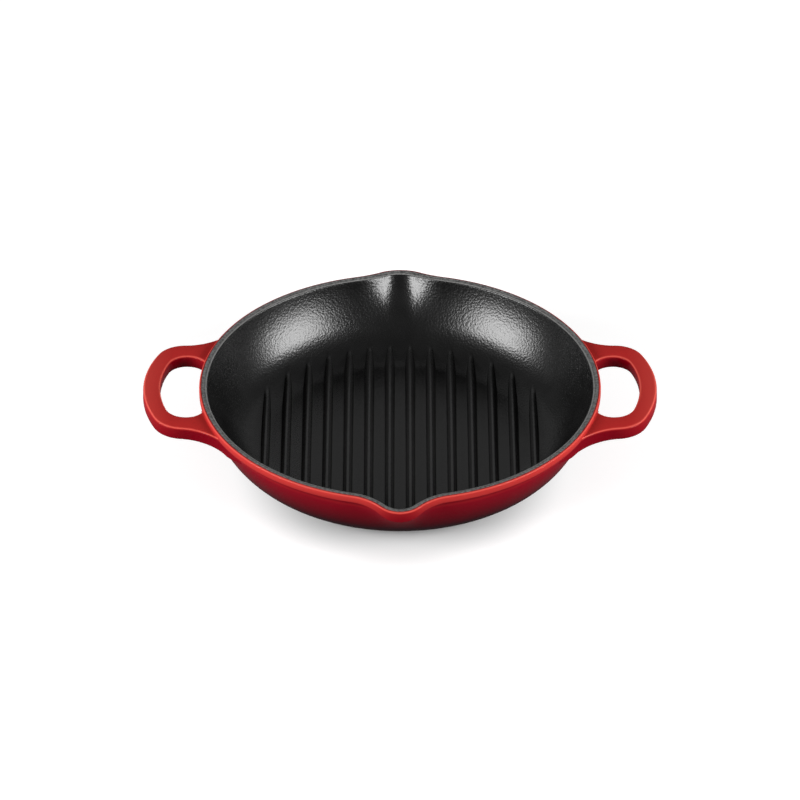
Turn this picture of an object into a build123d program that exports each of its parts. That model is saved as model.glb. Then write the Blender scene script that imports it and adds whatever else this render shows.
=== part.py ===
from build123d import *
import os
from math import acos, atan2, cos, degrees, radians, sin, sqrt, tan

# A round cast-iron grill pan with two pouring spouts and two loop handles.
# The real pan is one sand casting. Fired glass coats cover it: gloss enamel outside
# and under the base, satin enamel inside, and a bare ground coat left along the rim.
# Frame: +Z up, the pan stands on z = 0, its axis is Z, the handles reach along X
# and the spouts pour along Y. Millimetres and degrees.

# Overall sizes
pan_height = 50.0
rim_radius = 128.6
finger_gap = 25.2
coat_thickness = 0.4

# Rim: a crowned bare band, and the rolled collar below it
band_width = 3.9
band_drop = 0.9
lip_round = 0.9
collar_stand = 1.4
collar_height = 5.4
collar_top_round = 1.4
collar_low_round = 1.2
collar_back = 1.6

# Wall: a belly arc outside and a cove inside, and gently curved walls from them up to the rim.
# Both walls start at one lean from the upright and steepen towards the rim. In a spout they lean more.
# An inset is how far inside the rim line a centre or an edge lies.
belly_radius = 42.7
belly_inset = 47.9
cove_radius = 36.0
cove_inset = 45.7
wall_lean = 31.6
spout_lean = 8.0
floor_height = 5.0

# Base: a bare foot ring round a shallow recess
foot_inset = 42.1
foot_width = 8.0
recess_depth = 0.8
base_coat_gap = 0.05

# Spouts: a round tip, blended to the rim by two hollow arcs
spout_reach = 9.9
spout_tip_radius = 18.0
spout_blend_radius = 45.0
spout_dip = 3.0
spout_collar_dip = 5.6
spout_cut_inset = 58.6

# Ribs across the floor
rib_pitch = 13.5
rib_height = 5.0
rib_crest_radius = 1.5
rib_draft = 17.0

# Loop handles, level with the collar and rising a little outwards
handle_thickness = 9.0
handle_drop = 2.8
handle_rise = 2.0
handle_edge_round = 1.6
handle_half_width = 48.2
handle_end_radius = 85.0
handle_corner_radius = 20.0
handle_arm_angle = 3.0
handle_arm_length = 0.4
handle_flare_angle = 54.0
grip_width = 11.2
hole_half_length = 34.4
hole_end_radius = 75.0
hole_corner_radius = 13.0

# Flats that stand for each arc of the wall's section, and stretches along half a spout
belly_flats = 6
cove_flats = 6
wall_flats = 3
lip_flats = 1
crown_flats = 2
rib_crest_flats = 2
tip_stretches = 3
blend_stretches = 3

# Overlaps that are taken up inside the wall, where pieces of one casting join
root_overrun = 10.0
cut_overrun = 20.0

# Worked out from the sizes above
handle_reach = rim_radius + collar_stand + finger_gap + grip_width
belly_centre_radius = rim_radius - belly_inset
cove_centre_radius = rim_radius - cove_inset
foot_outer_radius = rim_radius - foot_inset
foot_inner_radius = foot_outer_radius - foot_width
spout_cut_radius = rim_radius - spout_cut_inset
crest_room = cove_centre_radius + sqrt(cove_radius**2 - (cove_radius - rib_height)**2)
rib_count = 2 * int(crest_room / rib_pitch)
tip_centre = rim_radius + spout_reach - spout_tip_radius
blend_centre = rim_radius + spout_blend_radius
tip_to_blend = spout_tip_radius + spout_blend_radius
spout_half_angle = acos((blend_centre**2 + tip_centre**2 - tip_to_blend**2)
                        / (2 * blend_centre * tip_centre))
belly_centre = Vector(belly_centre_radius, 0, belly_radius)
cove_centre = Vector(cove_centre_radius, 0, floor_height + cove_radius)
tip_half_angle = atan2(spout_tip_radius * blend_centre * sin(spout_half_angle) / tip_to_blend,
                       tip_centre + spout_tip_radius
                       * (blend_centre * cos(spout_half_angle) - tip_centre) / tip_to_blend)


def rim_at(angle, stand):
    """Distance from the axis to the rim line that stands out by stand, at an angle from a spout."""
    turn = abs(angle)
    if turn >= spout_half_angle:
        return rim_radius + stand
    blend_x = blend_centre * sin(spout_half_angle)
    blend_y = blend_centre * cos(spout_half_angle)
    share = (spout_tip_radius + stand) / tip_to_blend
    touch_x = share * blend_x
    touch_y = tip_centre + share * (blend_y - tip_centre)
    if turn < atan2(touch_x, touch_y):
        return tip_centre * cos(turn) + sqrt((spout_tip_radius + stand)**2 - (tip_centre * sin(turn))**2)
    off = spout_half_angle - turn
    return blend_centre * cos(off) - sqrt((spout_blend_radius - stand)**2 - (blend_centre * sin(off))**2)


def station(point, inward):
    """A point of the pan's surface, and the way from it into the iron."""
    return (point, inward)


def arc_span(centre, start, end, into, flats, wide=1):
    """Stations of an arc from start to end. into is 1 where the iron lies towards the centre, else -1.
    Their inward ways are stretched outwards, by nothing at the start and by wide at the end."""
    first = start - centre
    last = end - centre
    turn = radians(first.get_angle(last))
    span = []
    for count in range(flats + 1):
        share = count / flats
        ray = (first * sin((1 - share) * turn) + last * sin(share * turn)) / sin(turn)
        span.append(station(centre + ray, widened(ray.normalized() * -into, 1 + (wide - 1) * share)))
    return span


def leaning_centre(foot, top, normal):
    """Centre of the arc that leaves foot square to the normal and ends at top.
    With it comes 1 where the centre lies on the axis's side of the wall, else -1."""
    chord = top - foot
    reach = chord.dot(chord) / (2 * chord.dot(normal * -1))
    return foot - normal * reach, 1 if reach > 0 else -1


def quarter_turned(way):
    """The way, turned a quarter clockwise in the upright plane."""
    return Vector(way.Z, 0, -way.X)


def joined(spans):
    """The spans, each starting at the very station where the one before ends."""
    for before, after in zip(spans, spans[1:]):
        after[0] = before[-1]
    return spans


def skins(angle, start_radius):
    """Spans of stations round the wall at an angle from a spout: lining, rim band and outside."""
    pull = (rim_at(angle, 0) - rim_radius) / spout_reach
    wide = (rim_at(angle, 0) - rim_at(angle, -coat_thickness)) / coat_thickness
    top = pan_height - spout_dip * pull
    under = pan_height - collar_height - spout_collar_dip * pull
    lip = Vector(rim_at(angle, -band_width), 0, top - band_drop)
    crest = Vector(rim_at(angle, 0), 0, top)
    crown_radius = ((crest.X - lip.X)**2 + band_drop**2) / (2 * band_drop)
    crown_centre = crest - Vector(0, 0, crown_radius)
    lean = radians(wall_lean + spout_lean * pull)
    wall_normal = Vector(cos(lean), 0, -sin(lean))
    cove_top = cove_centre + wall_normal * cove_radius
    belly_top = belly_centre + wall_normal * belly_radius

    inner_centre, inner_side = leaning_centre(cove_top, lip, wall_normal)
    along_band = quarter_turned((lip - crown_centre).normalized())
    along_wall = quarter_turned((lip - inner_centre).normalized()) * inner_side
    back_off = lip_round / tan(radians(along_band.get_angle(along_wall)) / 2)
    band_end = lip + along_band * back_off
    wall_end = lip + along_wall * back_off
    lip_centre = band_end + (crown_centre - band_end).normalized() * lip_round

    floor_start = Vector(start_radius, 0, floor_height)
    floor_end = Vector(cove_centre_radius, 0, floor_height)
    down = Vector(0, 0, -1)
    up = Vector(0, 0, 1)
    lining = joined([
        [station(floor_start, down), station(floor_end, down)],
        arc_span(cove_centre, floor_end, cove_top, -1, cove_flats),
        arc_span(inner_centre, cove_top, wall_end, -inner_side, wall_flats, wide),
        arc_span(lip_centre, wall_end, band_end, 1, lip_flats),
    ])
    band = [arc_span(crown_centre, band_end, crest, 1, crown_flats)]
    band[0][0] = lining[-1][-1]

    face_radius = rim_at(angle, collar_stand)
    face_top = Vector(face_radius, 0, top - collar_top_round)
    face_low = Vector(face_radius, 0, under + collar_low_round)
    under_out = Vector(rim_at(angle, collar_stand - collar_low_round), 0, under)
    under_in = Vector(rim_at(angle, -collar_back), 0, under)
    outer_centre, outer_side = leaning_centre(belly_top, under_in, wall_normal)
    outer_wall = arc_span(outer_centre, belly_top, under_in, outer_side, wall_flats, wide)
    outer_wall.reverse()
    wall_in = outer_wall[0][1]
    corner_in = (wall_in + up) / (1 + wall_in.dot(up))
    level_in = Vector(-wide, 0, 0)
    foot_rise = belly_radius - sqrt(belly_radius**2 - (foot_outer_radius - belly_centre_radius)**2)
    foot_top = Vector(foot_outer_radius, 0, foot_rise)
    belly = arc_span(belly_centre, belly_top, foot_top, 1, belly_flats)
    foot_in = belly[-1][1]
    belly[-1] = station(foot_top, Vector(0, 0, 1 / foot_in.Z))
    outside = joined([
        [station(crest, down), station(face_top, level_in)],
        [None, station(face_low, level_in)],
        [None, station(under_out, up)],
        [None, station(under_in, corner_in)],
        outer_wall,
        belly,
    ])
    return lining, band, outside


def widened(way, wide):
    """The way, stretched outwards where the rim runs aslant to the section."""
    return Vector(way.X * wide, 0, way.Z)


def drawn(spans, depth):
    """Edges of the spans, moved into the iron by depth."""
    edges = []
    for span in spans:
        points = [point + inward * depth for point, inward in span]
        for low, high in zip(points, points[1:]):
            edges.append(Edge.make_line(low, high))
    return edges


def end_point(spans, depth):
    """Point at a depth where the spans end."""
    point, inward = spans[-1][-1]
    return point + inward * depth


def start_point(spans, depth):
    """Point at a depth where the spans start."""
    point, inward = spans[0][0]
    return point + inward * depth


def coat_section(spans, near, far):
    """Face of the coat that lies between two depths along the spans."""
    edges = drawn(spans, near)
    edges.append(Edge.make_line(end_point(spans, near), end_point(spans, far)))
    edges.extend(drawn(spans, far))
    edges.append(Edge.make_line(start_point(spans, near), start_point(spans, far)))
    return Face(Wire(edges))


def iron_section(angle, start_radius):
    """Face of the bare casting's wall, floor and foot."""
    lining, band, outside = skins(angle, start_radius)
    spans = lining + band + outside
    edges = drawn(spans, coat_thickness)
    recess_top = recess_depth + coat_thickness
    corners = [
        end_point(spans, coat_thickness),
        Vector(foot_outer_radius, 0, 0),
        Vector(foot_inner_radius, 0, 0),
        Vector(foot_inner_radius, 0, recess_top),
        Vector(start_radius, 0, recess_top),
        start_point(spans, coat_thickness),
    ]
    for low, high in zip(corners, corners[1:]):
        edges.append(Edge.make_line(low, high))
    return Face(Wire(edges))


def lining_section(angle, start_radius):
    """Face of the satin coat on the floor and up the inside of the wall."""
    return coat_section(skins(angle, start_radius)[0], 0, coat_thickness)


def band_section(angle, start_radius):
    """Face of the bare ground coat on the crown of the rim."""
    return coat_section(skins(angle, start_radius)[1], 0, coat_thickness)


def outside_section(angle, start_radius):
    """Face of the gloss coat on the collar and down the outside of the wall."""
    return coat_section(skins(angle, start_radius)[2], 0, coat_thickness)


def spout_window(side):
    """Upright wedge round one spout, from the floor outwards."""
    far = handle_reach + cut_overrun
    spread = tan(spout_half_angle)
    near = spout_cut_radius
    corners = [(-near * spread, near), (near * spread, near), (far * spread, far), (-far * spread, far)]
    plan = Face(Wire.make_polygon([Vector(x, y * side, -cut_overrun) for x, y in corners]))
    return Solid.extrude(plan, Vector(0, 0, pan_height + 2 * cut_overrun))


def spout_stretch(section, side):
    """The stretch of wall that leans out to one spout, lofted through upright sections."""
    half = [tip_half_angle * count / tip_stretches for count in range(tip_stretches)]
    for count in range(blend_stretches + 1):
        half.append(tip_half_angle + (spout_half_angle - tip_half_angle) * count / blend_stretches)
    faces = []
    for angle in [-angle for angle in reversed(half[1:])] + half:
        face = section(angle, spout_cut_radius - cut_overrun)
        faces.append(face.rotate(Axis.Z, 90 * side - degrees(angle)))
    body = Solid.make_loft([face.outer_wire() for face in faces], ruled=True)
    beyond = handle_reach + cut_overrun
    slab = Pos(0, side * (spout_cut_radius + beyond / 2), pan_height / 2) * Box(
        2 * beyond, beyond, pan_height + 2 * cut_overrun)
    return body & slab


def turned_with_spouts(section):
    """Turn a wall section round the axis, with its two spout stretches in place."""
    body = revolve(section(spout_half_angle, 0), Axis.Z)
    for side in (1, -1):
        body = body - spout_window(side)
        body = body + spout_stretch(section, side)
    return body


def filled(spans, depth):
    """Solid of turning that fills everything inside the spans at a depth."""
    edges = drawn(spans, depth)
    first = start_point(spans, depth)
    last = end_point(spans, depth)
    edges.append(Edge.make_line(first, Vector(0, 0, first.Z)))
    edges.append(Edge.make_line(Vector(0, 0, first.Z), Vector(0, 0, last.Z)))
    edges.append(Edge.make_line(Vector(0, 0, last.Z), last))
    return revolve(Face(Wire(edges)), Axis.Z)


def radius_to_rim(start, first, last):
    """Radius of the arc that turns from one angle to another and ends on the rim line."""
    chord = Vector(sin(first) - sin(last), cos(first) - cos(last))
    across = start.dot(chord)
    short_of = start.dot(start) - rim_radius**2
    return (-across - sqrt(across**2 - chord.dot(chord) * short_of)) / chord.dot(chord)


def handle_outline(depth):
    """Plan of a loop handle that reaches along +X, drawn in by depth."""
    end_centre = handle_reach - handle_end_radius
    corner_y = handle_half_width - handle_corner_radius
    corner_x = end_centre + sqrt((handle_end_radius - handle_corner_radius)**2 - corner_y**2)
    arm = radians(handle_arm_angle)
    flare = radians(handle_flare_angle)
    corner_radius = handle_corner_radius - depth
    end_radius = handle_end_radius - depth
    swing = atan2(corner_y, corner_x - end_centre)
    middle = (swing + radians(90) - arm) / 2
    corner = Vector(corner_x, corner_y)
    tip = Vector(end_centre + end_radius, 0)
    corner_start = corner + Vector(cos(swing), sin(swing)) * corner_radius
    corner_mid = corner + Vector(cos(middle), sin(middle)) * corner_radius
    corner_end = corner + Vector(sin(arm), cos(arm)) * corner_radius
    arm_end = corner_end + Vector(-cos(arm), sin(arm)) * handle_arm_length
    flare_radius = radius_to_rim(arm_end + Vector(sin(arm), cos(arm)) * depth, arm, flare) + depth
    flare_centre = arm_end + Vector(sin(arm), cos(arm)) * flare_radius
    bend = (arm + flare) / 2
    flare_mid = flare_centre - Vector(sin(bend), cos(bend)) * flare_radius
    flare_end = flare_centre - Vector(sin(flare), cos(flare)) * flare_radius
    root = flare_end - flare_end.normalized() * root_overrun

    def across(point):
        return Vector(point.X, -point.Y)

    upper = [
        Edge.make_three_point_arc(corner_start, corner_mid, corner_end),
        Edge.make_line(corner_end, arm_end),
        Edge.make_three_point_arc(arm_end, flare_mid, flare_end),
        Edge.make_line(flare_end, root),
    ]
    lower = [edge.mirror(Plane.XZ) for edge in upper]
    end = Edge.make_three_point_arc(corner_start, tip, across(corner_start))
    back = Edge.make_line(root, across(root))
    return Face(Wire(upper + lower + [end, back]))


def hole_outline(depth):
    """Plan of the finger hole, grown by depth. Its back lies hidden in the wall."""
    tip_x = handle_reach - grip_width + depth
    end_radius = hole_end_radius + depth
    corner_radius = hole_corner_radius + depth
    end_centre = tip_x - end_radius
    corner_y = hole_half_length - hole_corner_radius
    corner_x = end_centre + sqrt((hole_end_radius - hole_corner_radius)**2 - corner_y**2)
    swing = atan2(corner_y, corner_x - end_centre)
    corner = Vector(corner_x, corner_y)
    middle = (swing + radians(180)) / 2
    start = corner + Vector(cos(swing), sin(swing)) * corner_radius
    mid = corner + Vector(cos(middle), sin(middle)) * corner_radius
    end = corner - Vector(corner_radius, 0)
    root = end - end.normalized() * root_overrun

    def across(point):
        return Vector(point.X, -point.Y)

    edges = [
        Edge.make_three_point_arc(start, mid, end),
        Edge.make_line(end, root),
        Edge.make_line(root, across(root)),
        Edge.make_line(across(root), across(end)),
        Edge.make_three_point_arc(across(end), across(mid), across(start)),
        Edge.make_three_point_arc(across(start), Vector(tip_x, 0), start),
    ]
    return Face(Wire(edges))


def handle_loop(depth):
    """One loop handle along +X, drawn in all round by depth, with its root still inside the pan."""
    rise = radians(handle_rise)
    pivot = Vector(rim_radius, 0, pan_height - handle_drop)
    tilted = Plane(origin=pivot, x_dir=(cos(rise), 0, sin(rise)), z_dir=(-sin(rise), 0, cos(rise)))
    plan = handle_outline(depth) - hole_outline(depth)
    shifted = Pos(-rim_radius, 0, -depth) * plan
    body = extrude(tilted * shifted, amount=-(handle_thickness - 2 * depth))
    if isinstance(body, ShapeList):
        body = body[0]
    flats = body.faces().sort_by(Axis.Z)
    edges = []
    for flat in (flats[0], flats[-1]):
        for edge in flat.edges():
            middle = edge @ 0.5
            if sqrt(middle.X**2 + middle.Y**2) > rim_radius - collar_back:
                edges.append(edge)
    return chamfer(edges, length=handle_edge_round - depth)


def rib_bar(depth, foot_z):
    """One rib along Y: drafted sides and an eased crest, drawn in by depth."""
    draft = radians(rib_draft)
    crest = floor_height + rib_height
    radius = rib_crest_radius - depth
    centre_z = crest - rib_crest_radius
    side = Vector(radius * cos(draft), 0, centre_z + radius * sin(draft))
    foot = Vector(side.X + (side.Z - foot_z) * tan(draft), 0, foot_z)
    crest_centre = Vector(0, 0, centre_z)
    half = [point for point, inward in arc_span(
        crest_centre, side, crest_centre + Vector(0, 0, radius), 1, rib_crest_flats)]
    points = [foot] + half
    points = points + [Vector(-point.X, 0, point.Z) for point in reversed(points[:-1])]
    profile = Pos(0, rim_radius, 0) * Face(Wire.make_polygon(points))
    return Solid.extrude(profile, Vector(0, -2 * rim_radius, 0))


def ribs(depth, end_depth):
    """The ribs, drawn in by depth, whose ends run out below the lining's surface by end_depth."""
    lining = skins(spout_half_angle, 0)[0]
    room = filled(lining[1:], end_depth)
    bars = []
    for count in range(rib_count):
        place = (count - (rib_count - 1) / 2) * rib_pitch
        bar = rib_bar(depth, floor_height - 2 * end_depth)
        bars.append((Pos(place, 0, 0) * bar) & room)
    return bars


def both_sides(body):
    """The body on +X, and its twin on -X."""
    return [body, body.rotate(Axis.Z, 180)]


def make_iron_casting():
    """Bowl, floor, foot ring, ribs and both handles, all poured as one."""
    body = turned_with_spouts(iron_section)
    body = body + ribs(coat_thickness, coat_thickness * 2)
    lining, band, outside = skins(spout_half_angle, 0)
    low = (lining[2][0][0] + outside[-1][0][0]) / 2
    high = (lining[-1][-1][0] + outside[-2][0][0]) / 2
    lean_out = (high.X - low.X) / (high.Z - low.Z)
    top_z = pan_height + cut_overrun
    seat = Face(Wire.make_polygon([
        Vector(0, 0, low.Z), low, Vector(low.X + lean_out * (top_z - low.Z), 0, top_z), Vector(0, 0, top_z)]))
    root_cut = revolve(seat, Axis.Z)
    handle = handle_loop(coat_thickness) - root_cut
    for loop in both_sides(handle):
        body = body + loop
    return body


def make_outer_enamel():
    """Gloss coat on the outside of the wall, the collar and the handles."""
    body = turned_with_spouts(outside_section)
    outside = skins(spout_half_angle, 0)[2]
    core = filled(outside, coat_thickness / 2)
    iron_loop = handle_loop(coat_thickness)
    sleeve = handle_loop(0) - iron_loop - core
    for loop in both_sides(iron_loop):
        body = body - loop
    for loop in both_sides(sleeve):
        body = body + loop
    return body


def make_inner_enamel():
    """Satin coat on the inside of the wall, the floor and the ribs."""
    body = turned_with_spouts(lining_section)
    body = body + ribs(0, coat_thickness / 2)
    return body - ribs(coat_thickness, coat_thickness * 2)


def make_rim_ground_coat():
    """Bare ground coat on the crown of the rim."""
    return turned_with_spouts(band_section)


def make_base_enamel():
    """Gloss coat in the recess of the base, inside the foot ring."""
    disc = Cylinder(foot_inner_radius - base_coat_gap, coat_thickness)
    return Pos(0, 0, recess_depth + coat_thickness / 2) * disc


if __name__ == "__main__":
    os.makedirs("parts", exist_ok=True)
    export_step(make_iron_casting(), "parts/iron_casting.step")
    export_step(make_outer_enamel(), "parts/outer_enamel.step")
    export_step(make_inner_enamel(), "parts/inner_enamel.step")
    export_step(make_rim_ground_coat(), "parts/rim_ground_coat.step")
    export_step(make_base_enamel(), "parts/base_enamel.step")
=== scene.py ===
"""Visual model of an enamelled cast-iron grill pan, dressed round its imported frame.

The pan is one casting under fired glass coats. The casting and the coat under its base keep
their frame solids. The other coats are drawn here: smooth sheets with real thickness on the
bowl, and a closed skin round each handle. Sizes are in mm until a mesh is made. X runs along
the handles, Y from the front spout to the rear one, and Z up from the foot.
"""

import logging
import math
from dataclasses import dataclass, field
from enum import Enum
from typing import Callable, Sequence

import bmesh
import bpy
import numpy as np
from bpy.types import Material, MeshPolygon, Node, NodeSocket, NodeTree, Object
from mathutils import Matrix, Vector
from mathutils.geometry import delaunay_2d_cdt


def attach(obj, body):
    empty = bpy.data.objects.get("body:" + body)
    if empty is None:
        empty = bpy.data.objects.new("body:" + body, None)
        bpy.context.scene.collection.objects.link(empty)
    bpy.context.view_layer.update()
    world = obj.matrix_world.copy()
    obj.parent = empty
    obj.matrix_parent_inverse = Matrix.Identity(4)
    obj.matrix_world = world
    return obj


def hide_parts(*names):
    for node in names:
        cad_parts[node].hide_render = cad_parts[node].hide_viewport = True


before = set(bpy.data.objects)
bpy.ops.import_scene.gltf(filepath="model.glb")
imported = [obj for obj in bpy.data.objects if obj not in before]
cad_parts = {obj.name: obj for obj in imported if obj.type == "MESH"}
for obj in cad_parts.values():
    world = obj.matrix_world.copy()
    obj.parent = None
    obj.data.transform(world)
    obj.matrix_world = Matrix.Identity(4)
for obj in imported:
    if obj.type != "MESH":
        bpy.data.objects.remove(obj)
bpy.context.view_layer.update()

log = logging.getLogger("grill_pan")
MM = 0.001
BODY = "root"

Profile = np.ndarray


class Slot(Enum):
    """Material slots of the record, one named with each new piece."""

    RED = "gloss_red_enamel"
    BLACK = "satin_black_enamel"
    GROUND = "ground_coat"


# ---- Forms ----


def arc(centre: tuple[float, float], radius: float, start: float, end: float, steps: int) -> Profile:
    """Points of an arc in the upright half-plane.

    Args:
        centre: Distance from the axis and height of the centre, mm.
        radius: Radius, mm.
        start: First direction, radians from outwards towards up.
        end: Last direction, radians.
        steps: Number of chords.

    Returns:
        Array of (distance from the axis, height) rows.
    """
    turn = np.linspace(start, end, steps + 1)
    return np.column_stack([centre[0] + radius * np.cos(turn), centre[1] + radius * np.sin(turn)])


def run(start: Sequence[float], end: Sequence[float], steps: int) -> Profile:
    """Evenly spaced points of a straight run, both ends included."""
    share = np.linspace(0.0, 1.0, steps + 1)[:, None]
    return np.asarray(start) * (1 - share) + np.asarray(end) * share


@dataclass(frozen=True)
class PanForm:
    """Sizes of the pan in mm, and the sections of its wall at any angle from a spout."""

    height: float = 50.0
    rim_radius: float = 128.6
    band_width: float = 3.9
    band_drop: float = 0.9
    lip_round: float = 0.9
    collar_stand: float = 1.4
    collar_height: float = 5.4
    collar_top_round: float = 1.4
    collar_low_round: float = 1.2
    collar_back: float = 1.6
    collar_root_round: float = 0.7
    belly_radius: float = 42.7
    belly_centre: float = 80.7
    cove_radius: float = 36.0
    cove_centre: float = 82.9
    wall_lean: float = math.radians(31.6)
    spout_lean: float = math.radians(8.0)
    floor_height: float = 5.0
    foot_radius: float = 86.5
    spout_reach: float = 9.9
    spout_tip_radius: float = 18.0
    spout_blend_radius: float = 45.0
    spout_dip: float = 3.0
    spout_collar_dip: float = 5.6
    cove_steps: int = 14
    lining_steps: int = 20
    lip_steps: int = 6
    band_steps: int = 12
    top_round_steps: int = 8
    collar_face_steps: int = 3
    low_round_steps: int = 7
    collar_under_steps: int = 2
    root_round_steps: int = 5
    wall_steps: int = 14
    belly_steps: int = 26

    @property
    def tip_centre(self) -> float:
        """Distance from the axis to the centre of a spout's tip arc."""
        return self.rim_radius + self.spout_reach - self.spout_tip_radius

    @property
    def blend_centre(self) -> float:
        """Distance from the axis to the centre of a spout's hollow blend arcs."""
        return self.rim_radius + self.spout_blend_radius

    @property
    def spout_half_angle(self) -> float:
        """Angle from a spout's middle to where its blend leaves the round rim."""
        reach = self.spout_tip_radius + self.spout_blend_radius
        twice = 2 * self.blend_centre * self.tip_centre
        return math.acos((self.blend_centre**2 + self.tip_centre**2 - reach**2) / twice)

    def rim_at(self, angle: float, stand: float) -> float:
        """Distance from the axis to the line that stands out from the rim.

        Args:
            angle: Angle from the nearest spout's middle, radians.
            stand: How far the line stands outside the rim line, mm.

        Returns:
            Distance from the axis, mm.
        """
        turn = abs(angle)
        if turn >= self.spout_half_angle:
            return self.rim_radius + stand
        share = (self.spout_tip_radius + stand) / (self.spout_tip_radius + self.spout_blend_radius)
        touch_x = share * self.blend_centre * math.sin(self.spout_half_angle)
        blend_y = self.blend_centre * math.cos(self.spout_half_angle)
        touch_y = self.tip_centre + share * (blend_y - self.tip_centre)
        if turn < math.atan2(touch_x, touch_y):
            side = self.tip_centre * math.sin(turn)
            return self.tip_centre * math.cos(turn) + math.sqrt((self.spout_tip_radius + stand)**2 - side**2)
        off = self.spout_half_angle - turn
        side = self.blend_centre * math.sin(off)
        return self.blend_centre * math.cos(off) - math.sqrt((self.spout_blend_radius - stand)**2 - side**2)

    def pull(self, angle: float) -> float:
        """Share of the spout's reach that the rim has at an angle, from 0 to 1."""
        return (self.rim_at(angle, 0.0) - self.rim_radius) / self.spout_reach

    def top(self, angle: float) -> float:
        """Height of the rim's crest at an angle."""
        return self.height - self.spout_dip * self.pull(angle)

    def lip(self, angle: float) -> tuple[float, float]:
        """Sharp corner between the rim band and the lining, before it is rounded."""
        return self.rim_at(angle, -self.band_width), self.top(angle) - self.band_drop

    def lean(self, angle: float) -> float:
        """Lean of the wall from the upright, where its lower arc ends."""
        return self.wall_lean + self.spout_lean * self.pull(angle)

    @staticmethod
    def wall_arc(foot: Sequence[float], top: Sequence[float], lean: float,
                 steps: int) -> tuple[Profile, np.ndarray]:
        """The curved upper wall, which leaves its foot at a lean and ends at its top.

        Args:
            foot: Where the arc below ends, distance from the axis and height.
            top: Where the wall ends.
            lean: Lean from the upright at the foot, radians.
            steps: Number of chords.

        Returns:
            The wall's points upwards, and its direction at the top.
        """
        start, end = np.asarray(foot), np.asarray(top)
        normal = np.array([math.cos(lean), -math.sin(lean)])
        chord = end - start
        reach = float(chord @ chord) / (2 * float(chord @ -normal))
        centre = start - normal * reach
        first = math.atan2(*(start - centre)[::-1])
        turn = (math.atan2(*(end - centre)[::-1]) - first + math.pi) % (2 * math.pi) - math.pi
        along = (end - centre) / abs(reach) * math.copysign(1.0, reach)
        return arc(tuple(centre), abs(reach), first, first + turn, steps), np.array([-along[1], along[0]])

    def lip_arcs(self, angle: float) -> tuple[Profile, Profile]:
        """The top of the wall's section.

        Args:
            angle: Angle from the nearest spout's middle, radians.

        Returns:
            The rounded lip upwards, and the crowned band from it out to the crest.
        """
        lip_r, lip_z = self.lip(angle)
        crest = (self.rim_at(angle, 0.0), self.top(angle))
        span = crest[0] - lip_r
        crown = (span**2 + self.band_drop**2) / (2 * self.band_drop)
        centre = (crest[0], crest[1] - crown)
        wall = -self.wall_arc(self.cove_top(angle), (lip_r, lip_z), self.lean(angle), 1)[1]
        out = np.array([lip_r - centre[0], lip_z - centre[1]]) / crown
        along = np.array([out[1], -out[0]])
        back = self.lip_round / math.tan(math.acos(float(along @ wall)) / 2)
        band_end = np.array([lip_r, lip_z]) + along * back
        wall_end = np.array([lip_r, lip_z]) + wall * back
        round_centre = band_end - out * self.lip_round
        first = wall_end - round_centre
        last = band_end - round_centre
        start, end = math.atan2(first[1], first[0]) % (2 * math.pi), math.atan2(last[1], last[0])
        rounded = arc(tuple(round_centre), self.lip_round, start, end, self.lip_steps)
        leans = math.atan2(band_end[1] - centre[1], band_end[0] - centre[0])
        crowned = arc(centre, crown, leans, math.pi / 2, self.band_steps)
        crowned[0] = rounded[-1]
        return rounded, crowned

    def cove_top(self, angle: float) -> tuple[float, float]:
        """Where the cove meets the upper wall inside."""
        return (self.cove_centre + self.cove_radius * math.cos(self.lean(angle)),
                self.floor_height + self.cove_radius * (1 - math.sin(self.lean(angle))))

    def lining(self, angle: float, start_radius: float) -> Profile:
        """Section of the lining, from the cove up to the end of the lip's rounding.

        Args:
            angle: Angle from the nearest spout's middle, radians.
            start_radius: Distance from the axis where the section starts in the cove, mm.

        Returns:
            The section's points.
        """
        rounded, _ = self.lip_arcs(angle)
        centre = (self.cove_centre, self.floor_height + self.cove_radius)
        first = -math.acos((start_radius - self.cove_centre) / self.cove_radius)
        cove = arc(centre, self.cove_radius, first, -self.lean(angle), self.cove_steps)
        wall, _ = self.wall_arc(cove[-1], rounded[0], self.lean(angle), self.lining_steps)
        return np.vstack([cove, wall[1:-1], rounded])

    def band(self, angle: float) -> Profile:
        """Section of the bare band along the rim."""
        return self.lip_arcs(angle)[1]

    def outside(self, angle: float) -> Profile:
        """Section of the outer coat, from the crest over the collar and down to the foot.

        Args:
            angle: Angle from the nearest spout's middle, radians.

        Returns:
            The section's points.
        """
        top = self.top(angle)
        under = self.height - self.collar_height - self.spout_collar_dip * self.pull(angle)
        crest = self.rim_at(angle, 0.0)
        face = self.rim_at(angle, self.collar_stand)
        rounded = arc((face - self.collar_top_round, top - self.collar_top_round),
                      self.collar_top_round, math.pi / 2, 0.0, self.top_round_steps)
        rounded[0] = (crest, top)
        low = arc((face - self.collar_low_round, under + self.collar_low_round),
                  self.collar_low_round, 0.0, -math.pi / 2, self.low_round_steps)
        root = (self.rim_at(angle, -self.collar_back), under)
        centre = (self.belly_centre, self.belly_radius)
        foot = -math.acos((self.foot_radius - self.belly_centre) / self.belly_radius)
        belly = arc(centre, self.belly_radius, -self.lean(angle), foot, self.belly_steps)
        down = -self.wall_arc(belly[0], root, self.lean(angle), 1)[1]
        near = np.array(root) + (self.collar_root_round, 0.0)
        far = np.array(root) + down * self.collar_root_round
        share = np.linspace(0.0, 1.0, self.root_round_steps + 1)[:, None]
        hollow = near * (1 - share)**2 + 2 * np.array(root) * share * (1 - share) + far * share**2
        wall = self.wall_arc(belly[0], hollow[-1], self.lean(angle), self.wall_steps)[0][::-1]
        face_run = run(rounded[-1], low[0], self.collar_face_steps)
        under_run = run(low[-1], hollow[0], self.collar_under_steps)
        return np.vstack([rounded, face_run[1:-1], low, under_run[1:-1], hollow, wall[1:-1], belly])


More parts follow.
